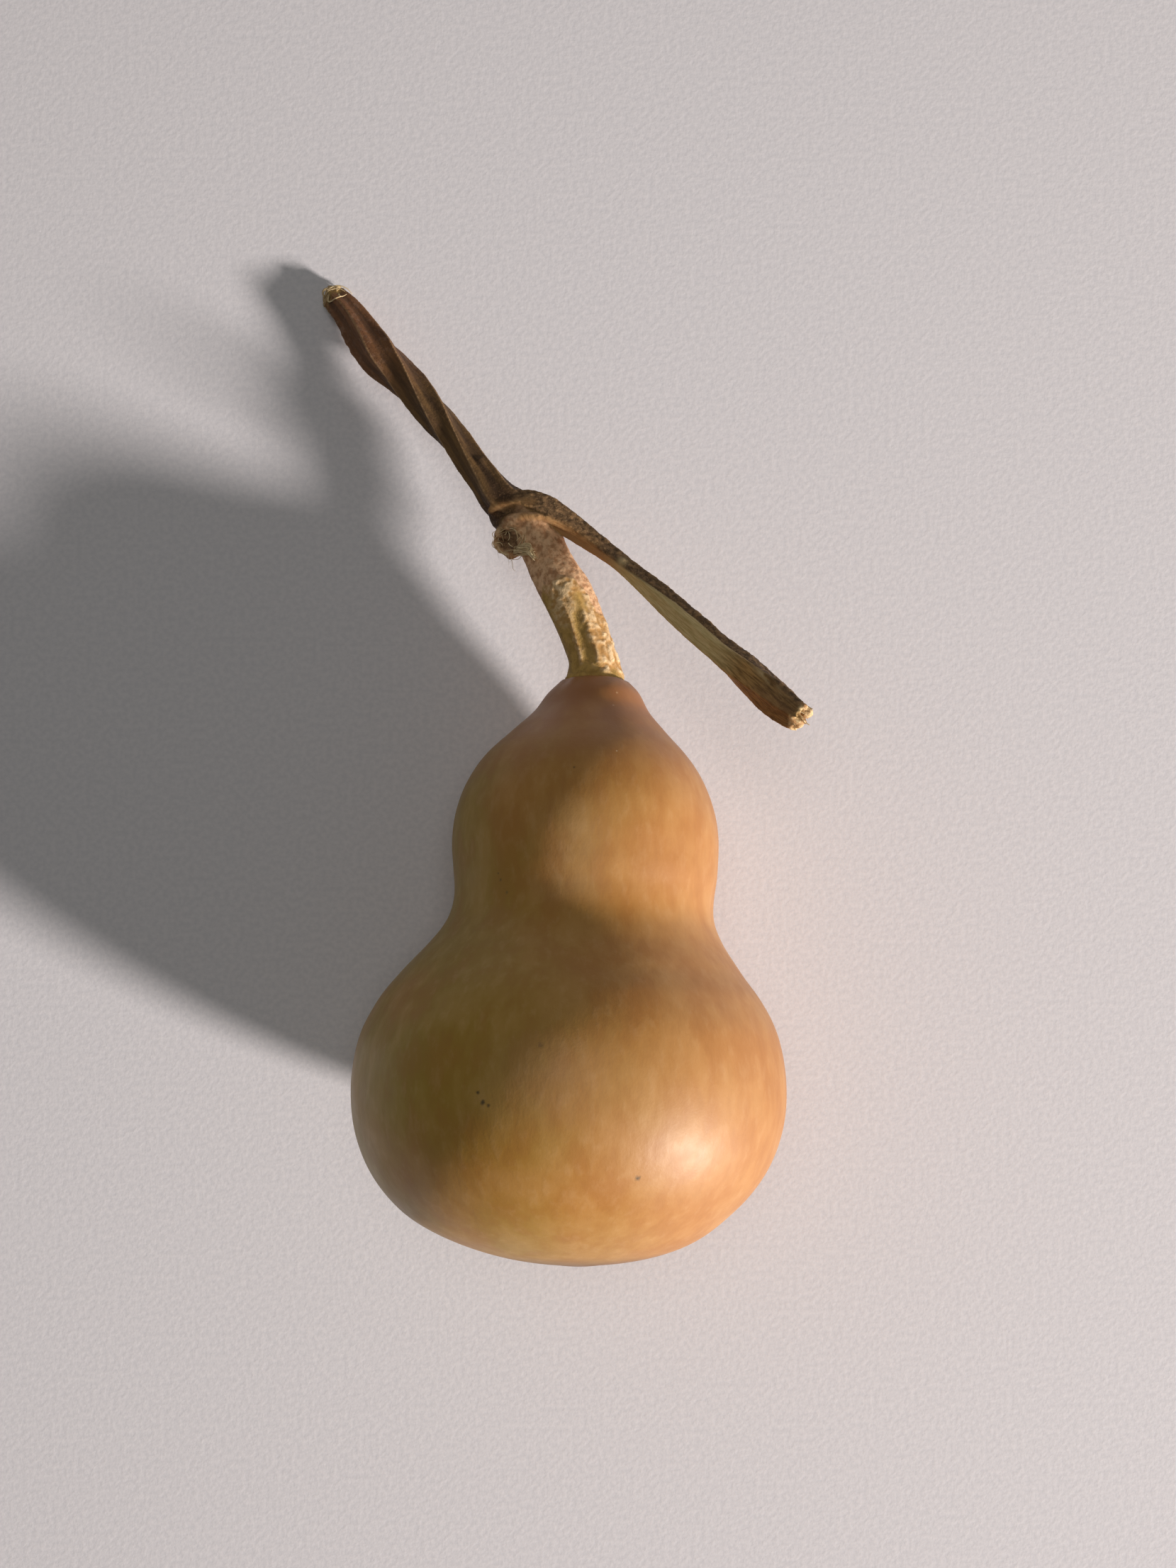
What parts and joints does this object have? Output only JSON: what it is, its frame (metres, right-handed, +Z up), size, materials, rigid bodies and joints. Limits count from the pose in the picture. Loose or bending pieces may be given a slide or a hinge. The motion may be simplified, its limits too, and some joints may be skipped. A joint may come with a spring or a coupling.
{
  "type": "dried bottle gourd",
  "caption": "Waisted dried bottle gourd lying on its big bulb, with its woody stalk, a knotted node and two ribbed, frayed arms of vine.",
  "frame": {"origin": "on the surface the gourd lies on, under the middle of its box", "axes": "+Z up, +Y along the fruit from its blossom end towards its stalk, +X to the right seen from above"},
  "size_m": [0.0796, 0.16, 0.0652],
  "materials": {
    "rind": "satin dried rind, tan to orange-brown with olive patches",
    "vine": "matt dry bark, brown to ochre, with cream torn fibres"
  },
  "bodies": {
    "root": {"gourd_fruit": "rind", "vine_stem": "vine"}
  },
  "joints": []
}
